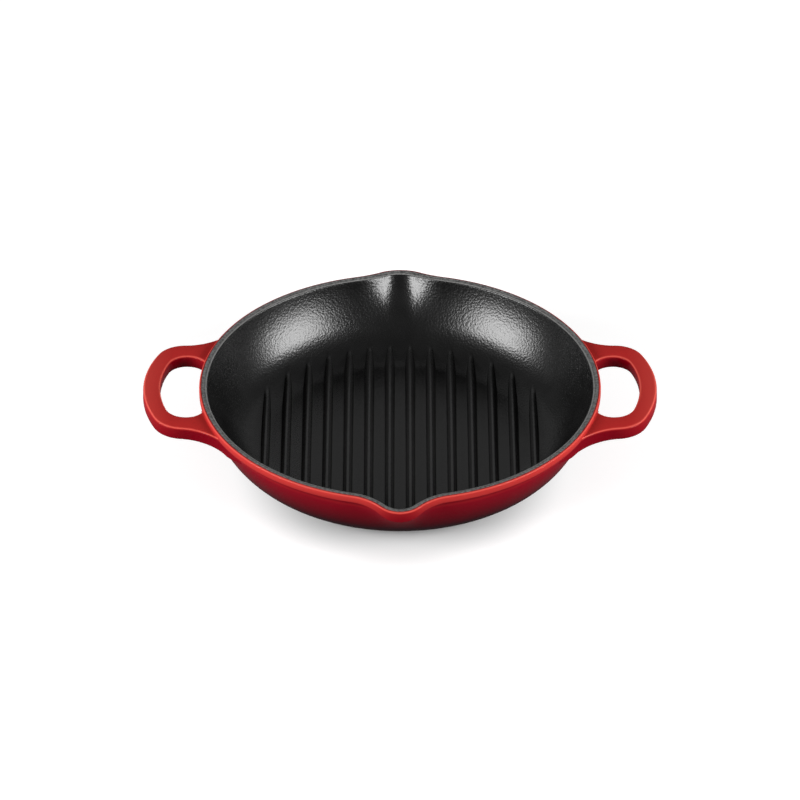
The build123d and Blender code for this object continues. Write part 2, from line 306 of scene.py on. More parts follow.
@dataclass(frozen=True)
class RibForm:
    """Sizes of the ribs across the floor, mm."""

    count: int = 14
    pitch: float = 13.5
    crest_height: float = 10.0
    crest_radius: float = 1.5
    draft: float = math.radians(17.0)
    root_round: float = 2.6

    def centres(self) -> np.ndarray:
        """Places of the ribs along X."""
        return (np.arange(self.count) - (self.count - 1) / 2) * self.pitch

    def nearest(self, x: np.ndarray) -> np.ndarray:
        """Distance from places along X to the nearest rib's middle plane."""
        return np.abs(x[:, None] - self.centres()[None, :]).min(axis=1)

    def height_at(self, off: np.ndarray) -> np.ndarray:
        """Height of a rib's surface: a round crest, and sides that lean out to the floor.

        Args:
            off: Distances from the rib's middle plane, mm.

        Returns:
            Heights, which fall below the floor between the ribs, mm.
        """
        shoulder = self.crest_radius * math.cos(self.draft)
        centre = self.crest_height - self.crest_radius
        crown = centre + np.sqrt(np.maximum(self.crest_radius**2 - np.minimum(off, shoulder)**2, 0.0))
        side = centre + self.crest_radius * math.sin(self.draft) - (off - shoulder) / math.tan(self.draft)
        return np.where(off <= shoulder, crown, side)


def eased_union(low: np.ndarray, high: np.ndarray, ease: float) -> np.ndarray:
    """Upper of two heights, with the hollow corner between them eased over a distance."""
    blend = np.clip(0.5 + 0.5 * (high - low) / ease, 0.0, 1.0)
    return low * (1 - blend) + high * blend + ease * blend * (1 - blend)


# ---- Mesh helpers ----


def mesh_object(name: str, verts: np.ndarray, faces: list[tuple[int, ...]]) -> Object:
    """Make a smooth-shaded object from points in mm.

    Args:
        name: Object name.
        verts: Points in mm.
        faces: Vertex indices of each face.

    Returns:
        The new object, linked to the scene.
    """
    mesh = bpy.data.meshes.new(name)
    mesh.from_pydata((np.asarray(verts) * MM).tolist(), [], faces)
    mesh.update()
    mesh.polygons.foreach_set("use_smooth", [True] * len(mesh.polygons))
    obj = bpy.data.objects.new(name, mesh)
    bpy.context.collection.objects.link(obj)
    return obj


def ring_faces(rings: int, points: int) -> list[tuple[int, ...]]:
    """Quads of a sheet of closed rings.

    Args:
        rings: Number of rings.
        points: Number of points in each ring.

    Returns:
        Vertex indices of each quad.
    """
    faces = []
    for low in range(0, (rings - 1) * points, points):
        high = low + points
        for point in range(points):
            after = (point + 1) % points
            faces.append((low + point, low + after, high + after, high + point))
    return faces


def spout_angles(form: PanForm, fine: int, coarse: int) -> np.ndarray:
    """Angles round the axis, close together in the spouts and wider apart elsewhere.

    Args:
        form: The pan.
        fine: Number of angles in each spout.
        coarse: Number of angles on each side between the spouts.

    Returns:
        Angles from the rear spout's middle, radians.
    """
    margin = 1.05
    edge = form.spout_half_angle * margin
    spout = np.linspace(-edge, edge, fine, endpoint=False)
    plain = np.linspace(edge, math.pi - edge, coarse, endpoint=False)
    half = np.concatenate([spout, plain])
    return np.concatenate([half, half + math.pi])


def from_spout(angle: float) -> float:
    """Angle from the nearest spout's middle, for an angle measured from a spout."""
    return (angle + math.pi / 2) % math.pi - math.pi / 2


def swept_rings(angles: np.ndarray, section: Callable[[float], Profile]) -> np.ndarray:
    """Sweep a wall section round the axis.

    Args:
        angles: Angles from the rear spout's middle, radians.
        section: Gives the section's points for an angle from the nearest spout's middle.

    Returns:
        Points, one ring for each point of the section.
    """
    rows = []
    for angle in angles:
        profile = section(from_spout(angle))
        heading = math.pi / 2 - angle
        rows.append(np.column_stack([profile[:, 0] * math.cos(heading),
                                     profile[:, 0] * math.sin(heading), profile[:, 1]]))
    return np.stack(rows, axis=1)


def settle_faces(obj: Object, weld: float = 0.0) -> None:
    """Weld close points of a mesh and turn its faces the same way.

    Args:
        obj: The object.
        weld: Distance within which points become one, mm.
    """
    shape = bmesh.new()
    shape.from_mesh(obj.data)
    if weld > 0:
        bmesh.ops.remove_doubles(shape, verts=shape.verts, dist=weld * MM)
    bmesh.ops.recalc_face_normals(shape, faces=shape.faces)
    shape.to_mesh(obj.data)
    shape.free()


def face_along(obj: Object, face: MeshPolygon, way: Sequence[float]) -> None:
    """Turn a sheet over unless one of its faces looks along a direction."""
    if face.normal.dot(Vector(way)) < 0:
        obj.data.flip_normals()


def set_point_value(obj: Object, name: str, values: np.ndarray) -> None:
    """Store one number for each point of a mesh, for its finish to read."""
    layer = obj.data.attributes.new(name=name, type="FLOAT", domain="POINT")
    layer.data.foreach_set("value", np.asarray(values, dtype=np.float32))


def thicken(obj: Object, depth: float) -> None:
    """Give a sheet the thickness of a fired coat, on the side of the iron.

    Args:
        obj: The sheet.
        depth: Thickness, mm.
    """
    solid = obj.modifiers.new("coat_depth", "SOLIDIFY")
    solid.thickness = depth * MM
    solid.offset = -1.0
    solid.use_even_offset = True
    solid.use_rim = True


# ---- Finishes ----


def linear(code: str) -> tuple[float, float, float, float]:
    """Turn an sRGB hex colour into linear RGBA.

    Args:
        code: The colour, as # and six hex digits.

    Returns:
        Linear red, green and blue, and an alpha of 1.
    """
    out = []
    for place in (1, 3, 5):
        value = int(code[place:place + 2], 16) / 255
        out.append(value / 12.92 if value <= 0.04045 else ((value + 0.055) / 1.055)**2.4)
    return out[0], out[1], out[2], 1.0


def add_node(tree: NodeTree, kind: str, settings: dict | None = None, links: dict | None = None,
             **sockets: object) -> Node:
    """Add a node with its settings, socket values and incoming links.

    Args:
        tree: Node tree that takes the node.
        kind: Node type's identifier.
        settings: Properties of the node itself.
        links: Input name or index to the output socket that feeds it.
        sockets: Input values by name, with underscores for spaces.

    Returns:
        The new node.
    """
    node = tree.nodes.new(kind)
    for key, value in (settings or {}).items():
        setattr(node, key, value)
    for key, value in sockets.items():
        node.inputs[key.replace("_", " ")].default_value = value
    for key, source in (links or {}).items():
        tree.links.new(source, node.inputs[key])
    return node


def new_material(name: str) -> tuple[Material, NodeTree, Node, NodeSocket]:
    """Start a material.

    Args:
        name: Name of the real finish.

    Returns:
        The material, its tree, its shader and the socket of its coordinates in metres.
    """
    material = bpy.data.materials.new(name)
    material.use_nodes = True
    tree = material.node_tree
    place = add_node(tree, "ShaderNodeTexCoord")
    return material, tree, tree.nodes["Principled BSDF"], place.outputs["Object"]


def set_ramp(node: Node, stops: Sequence[tuple[float, str]]) -> None:
    """Set a colour ramp's stops.

    Args:
        node: The colour ramp.
        stops: Places along the ramp, from 0 to 1, with their sRGB hex colours.
    """
    ramp = node.color_ramp
    while len(ramp.elements) > 1:
        ramp.elements.remove(ramp.elements[-1])
    ramp.elements[0].position = stops[0][0]
    ramp.elements[0].color = linear(stops[0][1])
    for position, code in stops[1:]:
        ramp.elements.new(position).color = linear(code)


@dataclass(frozen=True)
class GlossEnamel:
    """Gloss vitreous enamel, sprayed and fired in shaded coats.

    Fired glass gives a deep wet gloss with faint waves. It is shaded from cherry red at the
    rim to near black at the foot. Highlights are painted lighter along rounded edges, where
    the coat also runs thin, and on the handles' tops and the collar's face. Shade is painted
    darker below the collar's face, under the spouts, along the crest's edge and on the
    handles' sides and undersides. The gloss is all in the coat layer.
    """

    name: str = "gloss_red_enamel"
    shades: tuple[tuple[float, str], ...] = (  # from the foot up to the collar
        (0.03, "#080003"), (0.34, "#200006"), (0.80, "#6A0010"), (0.97, "#9E2020"))
    shade_height_mm: float = 50.0
    # painted shade: darkens the shaded faces below the collar and on the handles
    painted_shade: str = "#64000D"
    # painted highlight on edges and top faces; on edges the coat also runs thin
    thin_and_highlight: str = "#E0685A"
    speck: str = "#3A0408"
    roughness: float = 0.5
    gloss_weight: float = 0.06
    gloss_roughness: float = 0.09
    drift_mm: float = 30.0
    drift_share: float = 0.05
    wave_mm: float = 9.0
    grain_mm: float = 1.1

    def make(self) -> Material:
        """Build the node material.

        Returns:
            The material.
        """
        material, tree, shader, place = new_material(self.name)
        drift, grains, waves = (
            add_node(tree, "ShaderNodeTexNoise", links={"Vector": place}, Scale=1 / (size * MM), Detail=detail)
            for size, detail in ((self.drift_mm, 2.0), (self.grain_mm, 3.0), (self.wave_mm, 1.0)))
        split = add_node(tree, "ShaderNodeSeparateXYZ", links={"Vector": place})
        height = add_node(tree, "ShaderNodeMapRange", links={"Value": split.outputs["Z"]},
                          From_Max=self.shade_height_mm * MM)
        shifted = add_node(tree, "ShaderNodeMath", {"operation": "MULTIPLY_ADD"},
                           {0: drift.outputs["Fac"], 2: height.outputs["Result"]})
        shifted.inputs[1].default_value = self.drift_share
        shade = add_node(tree, "ShaderNodeValToRGB", links={"Fac": shifted.outputs["Value"]})
        set_ramp(shade, self.shades)
        # painted shade and painted highlight, as stored on each point
        shade_mask, edge = (
            add_node(tree, "ShaderNodeAttribute", {"attribute_name": name}) for name in ("painted_shade", "thin_and_highlight"))
        dots = add_node(tree, "ShaderNodeMapRange", links={"Value": grains.outputs["Fac"]},
                        From_Min=0.66, From_Max=0.78, To_Max=0.35)
        colour = shade.outputs["Color"]
        for factor, blend, code in ((shade_mask.outputs["Fac"], "DARKEN", self.painted_shade),
                                    (edge.outputs["Fac"], "MIX", self.thin_and_highlight),
                                    (dots.outputs["Result"], "MIX", self.speck)):
            mix = add_node(tree, "ShaderNodeMix", {"data_type": "RGBA", "blend_type": blend},
                           {"Factor": factor, 6: colour})
            mix.inputs[7].default_value = linear(code)
            colour = mix.outputs[2]
        tree.links.new(colour, shader.inputs["Base Color"])
        swell = add_node(tree, "ShaderNodeBump", links={"Height": waves.outputs["Fac"]},
                         Strength=0.25, Distance=0.5 * MM)
        skin = add_node(tree, "ShaderNodeBump",
                        links={"Height": grains.outputs["Fac"], "Normal": swell.outputs["Normal"]},
                        Strength=0.06, Distance=0.12 * MM)
        uneven = add_node(tree, "ShaderNodeMapRange", links={"Value": drift.outputs["Fac"]},
                          To_Min=self.roughness * 0.8, To_Max=self.roughness * 1.25)
        for source, socket in ((skin.outputs["Normal"], "Normal"), (skin.outputs["Normal"], "Coat Normal"),
                               (uneven.outputs["Result"], "Roughness")):
            tree.links.new(source, shader.inputs[socket])
        shader.inputs["Specular IOR Level"].default_value = 0.0
        shader.inputs["Coat Weight"].default_value = self.gloss_weight
        shader.inputs["Coat Roughness"].default_value = self.gloss_roughness
        return material


@dataclass(frozen=True)
class SatinEnamel:
    """Satin vitreous enamel, fired over a rough casting.

    It is a soft black glaze whose skin follows the sand's grain, so highlights on it are
    broad and break up into small pebbles. It runs thin over the crests of ribs, which are
    painted greyer, partly for the thin coat and partly as a painted highlight.
    """

    name: str = "satin_black_enamel"
    shades: tuple[tuple[float, str], ...] = ((0.3, "#080808"), (0.7, "#101010"))
    # lighter grey on the ribs' crests and sides: a thin coat and a painted highlight
    thin_and_highlight: str = "#2B2B2B"
    roughness: float = 0.27
    ior: float = 1.5
    cloud_mm: float = 14.0
    pebble_mm: float = 1.3
    grain_mm: float = 0.5  # the finest that shows, where the real grain is finer

    def make(self) -> Material:
        """Build the node material.

        Returns:
            The material.
        """
        material, tree, shader, place = new_material(self.name)
        pebbles = add_node(tree, "ShaderNodeTexVoronoi", {"feature": "SMOOTH_F1"}, {"Vector": place},
                           Scale=1 / (self.pebble_mm * MM), Smoothness=0.9)
        grain, cloud = (
            add_node(tree, "ShaderNodeTexNoise", links={"Vector": place}, Scale=1 / (size * MM), Detail=detail)
            for size, detail in ((self.grain_mm, 2.0), (self.cloud_mm, 3.0)))
        tone = add_node(tree, "ShaderNodeValToRGB", links={"Fac": cloud.outputs["Fac"]})
        set_ramp(tone, self.shades)
        # ribs' crests and sides painted lighter: a thin coat and a painted highlight
        crest = add_node(tree, "ShaderNodeAttribute", {"attribute_name": "thin_and_highlight"})
        crest_lightened = add_node(tree, "ShaderNodeMix", {"data_type": "RGBA"},
                           {"Factor": crest.outputs["Fac"], 6: tone.outputs["Color"]})
        crest_lightened.inputs[7].default_value = linear(self.thin_and_highlight)
        first = add_node(tree, "ShaderNodeBump", {"invert": True}, {"Height": pebbles.outputs["Distance"]},
                         Strength=0.35, Distance=0.35 * MM)
        second = add_node(tree, "ShaderNodeBump",
                          links={"Height": grain.outputs["Fac"], "Normal": first.outputs["Normal"]},
                          Strength=0.25, Distance=0.12 * MM)
        uneven = add_node(tree, "ShaderNodeMapRange", links={"Value": grain.outputs["Fac"]},
                          To_Min=self.roughness * 0.85, To_Max=self.roughness * 1.2)
        for source, socket in ((crest_lightened.outputs[2], "Base Color"), (second.outputs["Normal"], "Normal"),
                               (uneven.outputs["Result"], "Roughness")):
            tree.links.new(source, shader.inputs[socket])
        shader.inputs["IOR"].default_value = self.ior
        return material


@dataclass(frozen=True)
class GroundCoat:
    """Ground-coat enamel, bare where both coloured coats are wiped off before firing.

    It is a thin dull grey glass that shows the ground iron's grain as fine mottling. A
    highlight is painted along the band's inner edge.
    """

    name: str = "ground_coat"
    shades: tuple[tuple[float, str], ...] = (  # dark grain, plain coat, painted highlight
        (0.36, "#323232"), (0.66, "#686867"), (1.0, "#787776"))
    roughness: float = 0.5
    ior: float = 1.5
    mottle_mm: float = 1.6  # coarser than the real mottling, which is too fine to show

    def make(self) -> Material:
        """Build the node material.

        Returns:
            The material.
        """
        material, tree, shader, place = new_material(self.name)
        mottle = add_node(tree, "ShaderNodeTexNoise", links={"Vector": place},
                          Scale=1 / (self.mottle_mm * MM), Detail=3.0)
        # painted highlight along the band's inner edge, added to the mottling
        highlight_mask = add_node(tree, "ShaderNodeAttribute", {"attribute_name": "band_highlight"})
        mottle_and_highlight = add_node(tree, "ShaderNodeMath", {"operation": "ADD"},
                         {0: mottle.outputs["Fac"], 1: highlight_mask.outputs["Fac"]})
        tone = add_node(tree, "ShaderNodeValToRGB", links={"Fac": mottle_and_highlight.outputs["Value"]})
        set_ramp(tone, self.shades)
        rough = add_node(tree, "ShaderNodeBump", links={"Height": mottle.outputs["Fac"]},
                         Strength=0.3, Distance=0.15 * MM)
        tree.links.new(tone.outputs["Color"], shader.inputs["Base Color"])
        tree.links.new(rough.outputs["Normal"], shader.inputs["Normal"])
        shader.inputs["Roughness"].default_value = self.roughness
        shader.inputs["IOR"].default_value = self.ior
        return material


@dataclass(frozen=True)
class CoatedIron:
    """Sand-cast grey iron under a thin matt ground coat.

    The casting sand leaves a fine even grain, which keeps the face dark and dull.
    """

    name: str = "coated_iron"
    shades: tuple[tuple[float, str], ...] = ((0.35, "#1E1D1D"), (0.7, "#3B3938"))
    roughness: float = 0.6
    cloud_mm: float = 11.0
    sand_mm: float = 0.8  # coarser than the real sand, which is too fine to show

    def make(self) -> Material:
        """Build the node material.

        Returns:
            The material.
        """
        material, tree, shader, place = new_material(self.name)
        sand, cloud = (
            add_node(tree, "ShaderNodeTexNoise", links={"Vector": place}, Scale=1 / (size * MM), Detail=detail)
            for size, detail in ((self.sand_mm, 4.0), (self.cloud_mm, 2.0)))
        tone = add_node(tree, "ShaderNodeValToRGB", links={"Fac": cloud.outputs["Fac"]})
        set_ramp(tone, self.shades)
        rough = add_node(tree, "ShaderNodeBump", links={"Height": sand.outputs["Fac"]},
                         Strength=0.5, Distance=0.2 * MM)
        tree.links.new(tone.outputs["Color"], shader.inputs["Base Color"])
        tree.links.new(rough.outputs["Normal"], shader.inputs["Normal"])
        shader.inputs["Roughness"].default_value = self.roughness
        return material


def dress(obj: Object, material: Material, slot: Slot | None = None) -> None:
    """Give an object its only material, and attach a new piece to its body.

    Args:
        obj: The object.
        material: Its finish.
        slot: The new piece's slot, or nothing for a node of the frame.
    """
    obj.data.materials.clear()
    obj.data.materials.append(material)
    if slot is not None:
        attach(obj, BODY)


# ---- Sub-assemblies ----


@dataclass
class InnerEnamel:
    """Satin coat on the floor, the ribs and the inside of the wall.

    The ribbed floor is a plan of columns along the ribs, with every row of points where the
    cove rises and only every few rows where the floor is flat.
    """

    form: PanForm
    ribs: RibForm
    join_radius: float = 106.0
    join_gap: float = 0.9
    fine_steps: int = 44
    plain_steps: int = 130
    row_step: float = 1.3
    flat_rows: int = 4
    side_gap: float = 1.1
    weld: float = 0.004
    coat_depth: float = 0.2  # half of the solid coat, to stay clear of the casting's flats
    column_offs: tuple[float, ...] = (
        0.0, 0.5, 0.95, 1.25, 1.45, 1.7, 2.0, 2.25, 2.45, 2.65, 2.9, 3.2, 3.6, 4.3, 5.5)
    # lighter on the ribs' crests and sides, for a thin coat and a painted highlight
    thin_and_highlight_across: tuple[tuple[float, float], ...] = (  # by the distance from a rib's middle plane
        (0.0, 0.5), (1.1, 0.5), (1.7, 0.26), (2.6, 0.22), (3.1, 0.0))
    thin_and_highlight_below: float = 0.6

    def floor_height_at(self, radius: np.ndarray) -> np.ndarray:
        """Height of the plain floor and cove at a distance from the axis."""
        off = np.clip(radius - self.form.cove_centre, 0.0, None)
        return self.form.floor_height + self.form.cove_radius - np.sqrt(self.form.cove_radius**2 - off**2)

    def surface_at(self, x: np.ndarray, y: np.ndarray) -> np.ndarray:
        """Height of the lining with its ribs at points of the plan."""
        rib = self.ribs.height_at(self.ribs.nearest(x))
        return eased_union(self.floor_height_at(np.hypot(x, y)), rib, self.ribs.root_round)

    def thin_and_highlight_at(self, places: np.ndarray) -> np.ndarray:
        """How much lighter the coat is: most on the ribs' crests, a little on their sides.

        There the coat runs thin, and a highlight is painted on.

        Args:
            places: Points of the lining, mm.

        Returns:
            Lightness from 0 to 1 at each point.
        """
        off = self.ribs.nearest(places[:, 0])
        proud = self.ribs.height_at(off) - self.floor_height_at(np.hypot(places[:, 0], places[:, 1]))
        return np.interp(off, *zip(*self.thin_and_highlight_across)) * np.clip(proud + self.thin_and_highlight_below, 0.0, 1.0)

    def columns(self) -> np.ndarray:
        """Columns of the floor's plan that hold the ribs' crests, sides and roots.

        Returns:
            Their places along X, mm.
        """
        offs = np.array(self.column_offs)
        half = np.concatenate([-offs[:0:-1], offs])
        inside = (self.ribs.centres()[:, None] + half[None, :]).ravel()
        outside = np.arange(inside.max() + self.side_gap, self.join_radius, self.row_step)
        return np.sort(np.concatenate([inside, outside, -outside]))

    def plan(self, joint: np.ndarray) -> tuple[list[Vector], list[tuple[int, int]]]:
        """Lay out the floor.

        Args:
            joint: The wall's lowest ring, which the floor is welded to.

        Returns:
            Points of the plan with the joint's first, and the edges along the joint and the
            columns, which no triangle of the floor crosses.
        """
        points = [Vector((p[0], p[1])) for p in joint]
        edges = [(i, (i + 1) % len(joint)) for i in range(len(joint))]
        for x in self.columns():
            first = len(points)
            rows = int(math.sqrt(max((self.join_radius - self.join_gap)**2 - x**2, 0.0)) / self.row_step)
            for row in range(-rows, rows + 1):
                y = row * self.row_step
                if row % self.flat_rows == 0 or math.hypot(x, y) > self.form.cove_centre - self.row_step:
                    points.append(Vector((x, y)))
            edges += [(i, i + 1) for i in range(first, len(points) - 1)]
        return points, edges

    def build(self, finish: Material) -> Object:
        """Build the sheet: ring rows up the wall, welded to a ribbed disc inside them.

        Args:
            finish: The coat's material.

        Returns:
            The sheet.
        """
        angles = spout_angles(self.form, self.fine_steps, self.plain_steps)
        rings = swept_rings(angles, lambda angle: self.form.lining(angle, self.join_radius))
        wall = rings.reshape(-1, 3)
        flat, _, cells, _, _, _ = delaunay_2d_cdt(*self.plan(rings[0]), [], 0, 1e-5)
        places = np.array([(p.x, p.y) for p in flat])
        floor = np.column_stack([places, self.surface_at(places[:, 0], places[:, 1])])
        faces = [face[::-1] for face in ring_faces(len(rings), len(angles))]
        faces += [tuple(len(wall) + i for i in cell) for cell in cells]
        obj = mesh_object("inner_enamel_sheet", np.vstack([wall, floor]), faces)
        settle_faces(obj, self.weld)
        places = np.empty(len(obj.data.vertices) * 3)
        obj.data.vertices.foreach_get("co", places)
        # ribs' crests painted lighter: a thin coat and a painted highlight
        set_point_value(obj, "thin_and_highlight", self.thin_and_highlight_at(places.reshape(-1, 3) / MM))
        centre = min(obj.data.polygons, key=lambda face: face.center.x**2 + face.center.y**2)
        face_along(obj, centre, (0, 0, 1))
        thicken(obj, self.coat_depth)
        dress(obj, finish, Slot.BLACK)
        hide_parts("inner_enamel")
        return obj


@dataclass
class RimBand:
    """Bare crowned band along the rim, a little lower than the two coats that stop at it."""

    form: PanForm
    fine_steps: int = 60
    plain_steps: int = 150
    coat_depth: float = 0.2  # half of the solid coat, to stay clear of the casting's flats
    sink: float = 0.05
    # painted highlight along the band's inner edge, with a darker line beside it
    band_highlight_across: tuple[tuple[float, float], ...] = (  # by the share of the way to the crest
        (0.0, 0.35), (0.22, 0.25), (0.36, -0.12), (0.5, 0.05), (1.0, 0.05))

    def build(self, finish: Material) -> Object:
        """Build the sheet, with a highlight painted along its inner edge.

        Args:
            finish: The coat's material.

        Returns:
            The sheet.
        """
        angles = spout_angles(self.form, self.fine_steps, self.plain_steps)
        rings = swept_rings(angles, lambda angle: self.form.band(angle) - np.array([0.0, self.sink]))
        obj = mesh_object("rim_ground_band", rings.reshape(-1, 3), ring_faces(len(rings), len(angles)))
        face_along(obj, obj.data.polygons[0], (0, 0, 1))
        across = np.interp(np.linspace(0.0, 1.0, len(rings)), *zip(*self.band_highlight_across))
        set_point_value(obj, "band_highlight", np.repeat(across, len(angles)))
        thicken(obj, self.coat_depth)
        dress(obj, finish, Slot.GROUND)
        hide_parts("rim_ground_coat")
        return obj


@dataclass
class OuterEnamel:
    """Gloss coat on the collar and the outside of the wall."""

    form: PanForm
    fine_steps: int = 60
    plain_steps: int = 150
    coat_depth: float = 0.2  # half of the solid coat, to stay clear of the casting's flats
    # painted highlight over the collar's top edge, where the coat also runs thin, and on its face
    edge_thin_and_highlight: float = 0.42
    face_highlight: float = 0.08
    crest_rings: int = 3
    # painted shade along the crest's edge, down the collar's face, under the spouts and below the collar
    crest_shade: float = 0.8
    face_shade: tuple[float, ...] = (0.10, 0.20, 0.32, 0.45, 0.65, 0.85, 1.0)  # ring by ring down the face
    spout_shade: float = 0.6

    def coat_levels(self, rings: int, angles: np.ndarray) -> tuple[np.ndarray, np.ndarray]:
        """Painted highlight and painted shade of the coat, by the rings of the section.

        Args:
            rings: Number of rings.
            angles: Angles from the rear spout's middle, radians.

        Returns:
            Painted highlight and painted shade from 0 to 1 at each point of each ring.
        """
        form = self.form
        top = form.top_round_steps
        low = top + form.collar_face_steps
        root = low + form.low_round_steps + form.collar_under_steps + form.root_round_steps
        lower_face = slice(top, top + len(self.face_shade))
        thin_and_highlight, painted_shade = np.zeros((rings, len(angles))), np.zeros((rings, len(angles)))
        spout = np.array([form.pull(from_spout(angle)) for angle in angles])
        # painted highlight over the collar's top edge and on its face
        thin_and_highlight[:top + 1] = np.sin(np.linspace(0.0, 1.0, top + 1) * math.pi)[:, None]**2 * self.edge_thin_and_highlight
        thin_and_highlight[top - 1:low + 1] = self.face_highlight * (1 - spout)
        # painted shade along the crest's edge, down the face, under the spouts and below the collar
        painted_shade[:self.crest_rings] = self.crest_shade
        painted_shade[lower_face] = np.array(self.face_shade)[:, None]
        painted_shade[lower_face] += (1 - painted_shade[lower_face]) * spout * self.spout_shade
        painted_shade[lower_face.stop:root + 2] = 1.0
        return thin_and_highlight, painted_shade

    def build(self, finish: Material) -> Object:
        """Build the sheet, with a highlight painted over the collar's top edge and shade below its face.

        Args:
            finish: The coat's material.

        Returns:
            The sheet.
        """
        angles = spout_angles(self.form, self.fine_steps, self.plain_steps)
        rings = swept_rings(angles, self.form.outside)
        obj = mesh_object("outer_enamel_wall", rings.reshape(-1, 3), ring_faces(len(rings), len(angles)))
        middle = obj.data.polygons[len(obj.data.polygons) // 2]
        face_along(obj, middle, middle.center)
        thin_and_highlight, painted_shade = self.coat_levels(len(rings), angles)
        set_point_value(obj, "thin_and_highlight", thin_and_highlight.ravel())
        set_point_value(obj, "painted_shade", painted_shade.ravel())
        thicken(obj, self.coat_depth)
        dress(obj, finish, Slot.RED)
        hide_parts("outer_enamel")
        return obj


@dataclass
class LoopHandle:
    """Gloss coat all round one cast loop handle, which flares into the wall.

    Sizes are in mm. The keys are points of each half outline that face each other across
    the bar, and the last fields set the painted highlight on the edges and tops and the
    painted shade on the sides and underside.
    """

    form: PanForm
    side: int
    thickness: float = 9.0
    drop: float = 2.8
    rise: float = math.radians(2.0)
    edge_round: float = 1.6
    reach: float = 166.4
    half_width: float = 48.2
    end_radius: float = 85.0
    corner_radius: float = 20.0
    arm_angle: float = math.radians(3.0)
    arm_length: float = 0.4
    flare_angle: float = math.radians(54.0)
    grip: float = 11.2
    hole_half_length: float = 34.4
    hole_end_radius: float = 75.0
    hole_corner_radius: float = 13.0
    taper_length: float = 19.0
    taper_sink: float = 0.5
    root_depth: float = 9.0
    root_sink: float = 1.6
    top_fillet: float = 0.5
    low_fillet: float = 2.6
    fillet_from: float = -0.3
    fillet_span: float = 1.1
    crown: float = 0.2
    corner_steps: int = 7
    face_steps: int = 7
    grip_rings: int = 48
    root_rings: int = 46
    root_crowding: float = 1.8
    taper_rings: int = 16
    outer_keys: tuple[int, ...] = (0, 16, 36, 63, 77)
    inner_keys: tuple[int, ...] = (0, 16, 33, 49, 61)
    # painted highlight along the top edges, where the coat also runs thin, on the tops and the end bars
    edge_thin_and_highlight: float = 0.55
    edge_upward: float = 0.78
    edge_spread: float = 0.16
    top_highlight: float = 0.04
    end_highlight: float = 0.14
    end_from: float = 148.0
    end_span: float = 18.0
    # painted shade is weaker on sides that face outwards
    outward_share: float = 0.6
    wall_points: np.ndarray = field(init=False, repr=False)

    def __post_init__(self) -> None:
        """Keep the wall's section, which the fillets are measured from."""
        self.wall_points = self.form.outside(math.pi / 2)

    def flare_radius(self, start: np.ndarray) -> float:
        """Radius of the arc that leaves the arm and ends on the rim line.

        Args:
            start: The arm's end, mm.

        Returns:
            The radius, mm.
        """
        first, last = self.arm_angle, self.flare_angle
        chord = np.array([math.sin(first) - math.sin(last), math.cos(first) - math.cos(last)])
        across, long = float(start @ chord), float(chord @ chord)
        inside = float(start @ start) - self.form.rim_radius**2
        return (-across - math.sqrt(across**2 - long * inside)) / long

    def outer_line(self) -> np.ndarray:
        """Half of the outer outline, from the grip's middle to its taper's end.

        Returns:
            Points of the plan, the last of them along the rim line.
        """
        centre = self.reach - self.end_radius
        corner_y = self.half_width - self.corner_radius
        corner_x = centre + math.sqrt((self.end_radius - self.corner_radius)**2 - corner_y**2)
        swing = math.atan2(corner_y, corner_x - centre)
        end = arc((centre, 0.0), self.end_radius, 0.0, swing, 16)
        corner = arc((corner_x, corner_y), self.corner_radius, swing, math.pi / 2 - self.arm_angle, 20)
        way = np.array([-math.cos(self.arm_angle), math.sin(self.arm_angle)])
        arm = corner[-1] + way * self.arm_length
        radius = self.flare_radius(arm)
        hub = arm + np.array([math.sin(self.arm_angle), math.cos(self.arm_angle)]) * radius
        flare = arc(tuple(hub), radius, -math.pi / 2 - self.arm_angle,
                    -math.pi / 2 - self.flare_angle, 26)
        rim = self.form.rim_radius
        first = math.atan2(flare[-1][1], flare[-1][0])
        taper = arc((0.0, 0.0), rim, first, first + self.taper_length / rim, 14)
        return np.vstack([end, corner[1:], arm[None], flare[1:], taper[1:]])

    def inner_line(self) -> np.ndarray:
        """Half of the finger hole's outline, from the grip's middle to inside the wall.

        Returns:
            Points of the plan.
        """
        tip = self.reach - self.grip
        centre = tip - self.hole_end_radius
        corner_y = self.hole_half_length - self.hole_corner_radius
        corner_x = centre + math.sqrt((self.hole_end_radius - self.hole_corner_radius)**2 - corner_y**2)
        swing = math.atan2(corner_y, corner_x - centre)
        end = arc((centre, 0.0), self.hole_end_radius, 0.0, swing, 16)
        corner = arc((corner_x, corner_y), self.hole_corner_radius, swing, math.pi, 40)
        last = corner[-1] - corner[-1] / np.hypot(*corner[-1]) * self.root_depth
        return np.vstack([end, corner[1:], run(corner[-1], last, 5)[1:]])

    def matched(self) -> tuple[np.ndarray, np.ndarray]:
        """Both outlines, resampled so that each pair of points faces across the bar.

        Returns:
            The outer and the inner outline, with a point of each for every ring.
        """
        near_wall = 1 - (1 - np.linspace(0.0, 1.0, self.root_rings))**self.root_crowding
        places = np.concatenate([np.linspace(0.0, 2.0, self.grip_rings, endpoint=False),
                                 2.0 + near_wall, np.linspace(3.0, 4.0, self.taper_rings + 1)[1:]])
        lines = []
        for line, keys in ((self.outer_line(), self.outer_keys), (self.inner_line(), self.inner_keys)):
            long = np.concatenate([[0.0], np.cumsum(np.hypot(*np.diff(line, axis=0).T))])
            want = np.interp(places, np.arange(len(keys)), long[list(keys)])
            lines.append(np.column_stack([np.interp(want, long, line[:, i]) for i in (0, 1)]))
        return lines[0], lines[1]

